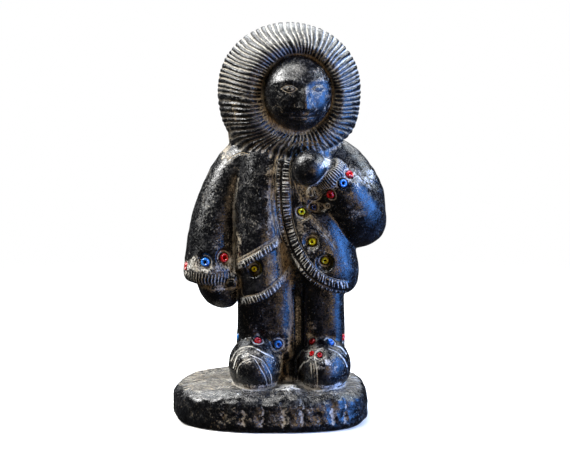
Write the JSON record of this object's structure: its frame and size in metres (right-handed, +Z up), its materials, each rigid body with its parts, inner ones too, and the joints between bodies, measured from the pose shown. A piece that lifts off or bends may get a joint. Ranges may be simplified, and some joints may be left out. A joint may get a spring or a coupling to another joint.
{
  "type": "carved soapstone figurine",
  "caption": "Black soapstone figure in a fur-ruffed parka on a rounded base, carved in one, with glass seed beads set in its cuffs, coat and boots.",
  "frame": {"origin": "middle of the underside, at the centre of the bounding box", "axes": "+Z up, the figure faces -Y, and +X is to the viewer's right"},
  "size_m": [0.08, 0.058, 0.1503],
  "materials": {
    "black_soapstone": "oiled and polished, pale dust in the cuts",
    "red_glass": "gloss opaque glass",
    "blue_glass": "gloss opaque glass",
    "dark_blue_glass": "gloss opaque glass",
    "yellow_glass": "gloss opaque glass"
  },
  "bodies": {
    "root": {"carving": "black_soapstone", "cuff_bead_right_1": "red_glass", "cuff_bead_right_2": "blue_glass", "cuff_bead_right_3": "red_glass", "cuff_bead_left_1": "red_glass", "cuff_bead_left_2": "blue_glass", "cuff_bead_left_3": "red_glass", "coat_bead_1": "yellow_glass", "coat_bead_2": "yellow_glass", "coat_bead_3": "yellow_glass", "coat_bead_4": "yellow_glass", "chest_bead": "dark_blue_glass", "boot_bead_right_1": "blue_glass", "boot_bead_right_2": "red_glass", "boot_bead_right_3": "blue_glass", "boot_bead_left_1": "red_glass", "boot_bead_left_2": "red_glass", "boot_bead_left_3": "red_glass", "boot_bead_left_4": "blue_glass", "boot_bead_left_5": "red_glass"}
  },
  "joints": []
}
